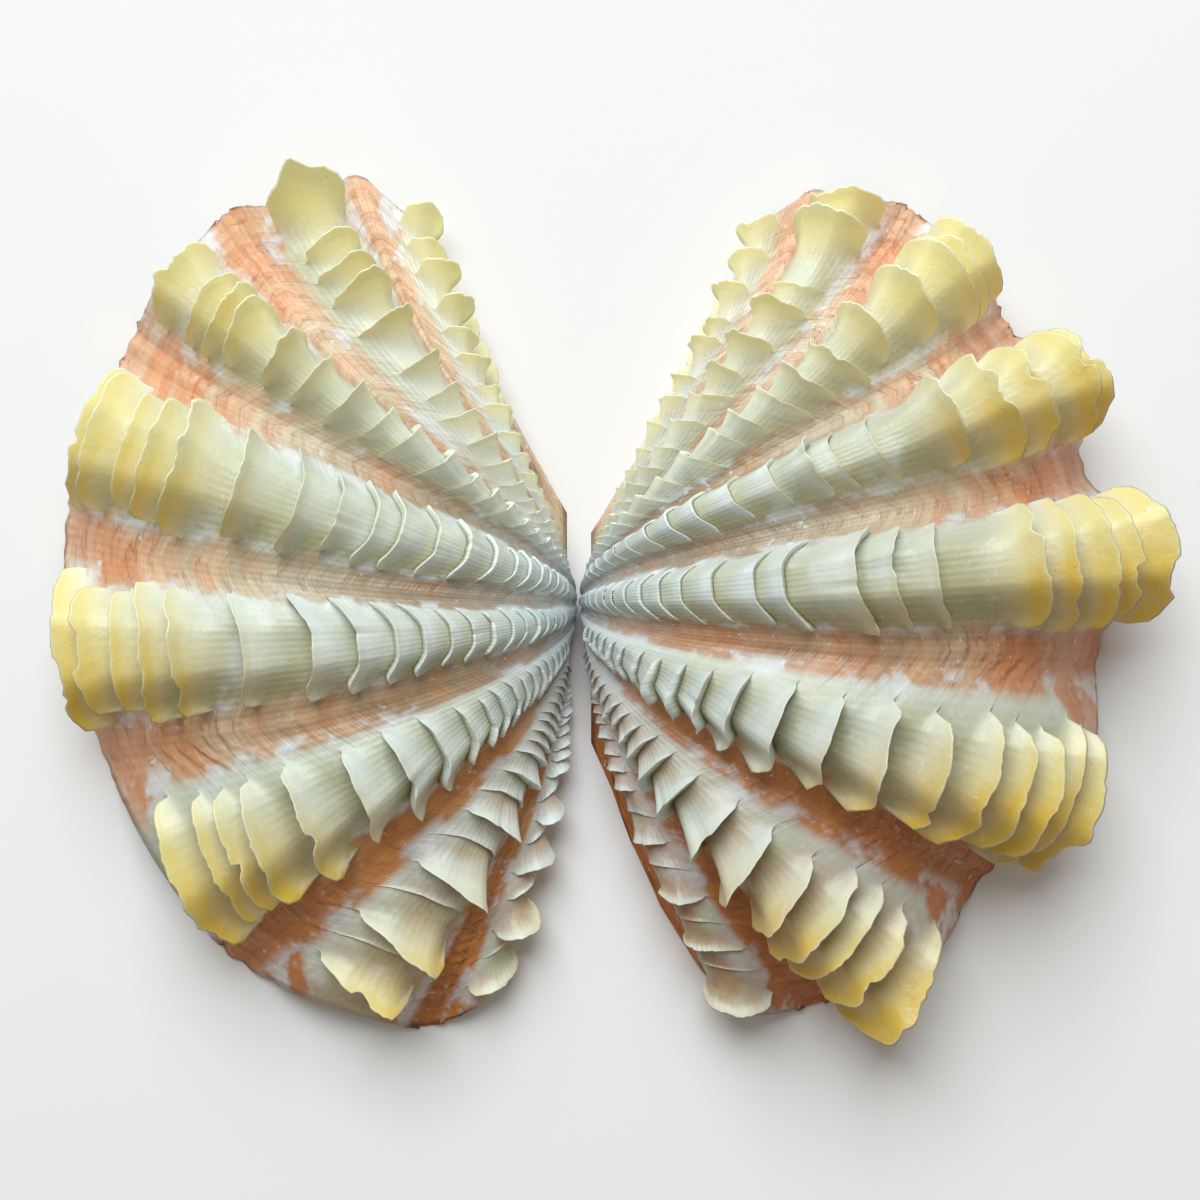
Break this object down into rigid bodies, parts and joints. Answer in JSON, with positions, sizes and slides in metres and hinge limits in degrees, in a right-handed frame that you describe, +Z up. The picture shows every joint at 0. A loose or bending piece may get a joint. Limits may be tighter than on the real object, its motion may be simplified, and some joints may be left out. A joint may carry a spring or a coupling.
{
  "type": "giant clam shell",
  "caption": "Fluted giant clam shell laid open, both valves outer side up with their beaks together; tall scutes stand in rows along the ribs.",
  "frame": {"origin": "under the middle of the pair, on the surface that the shell lies on", "axes": "+X from the left valve to the right valve, +Y along the hinge line, +Z up out of the valves' outer sides"},
  "size_m": [0.305, 0.2416, 0.0692],
  "materials": {
    "left_shell": "chalky with satin scutes",
    "right_shell": "chalky with satin scutes"
  },
  "bodies": {
    "root": {"left_valve": "left_shell", "right_valve": "right_shell"}
  },
  "joints": []
}
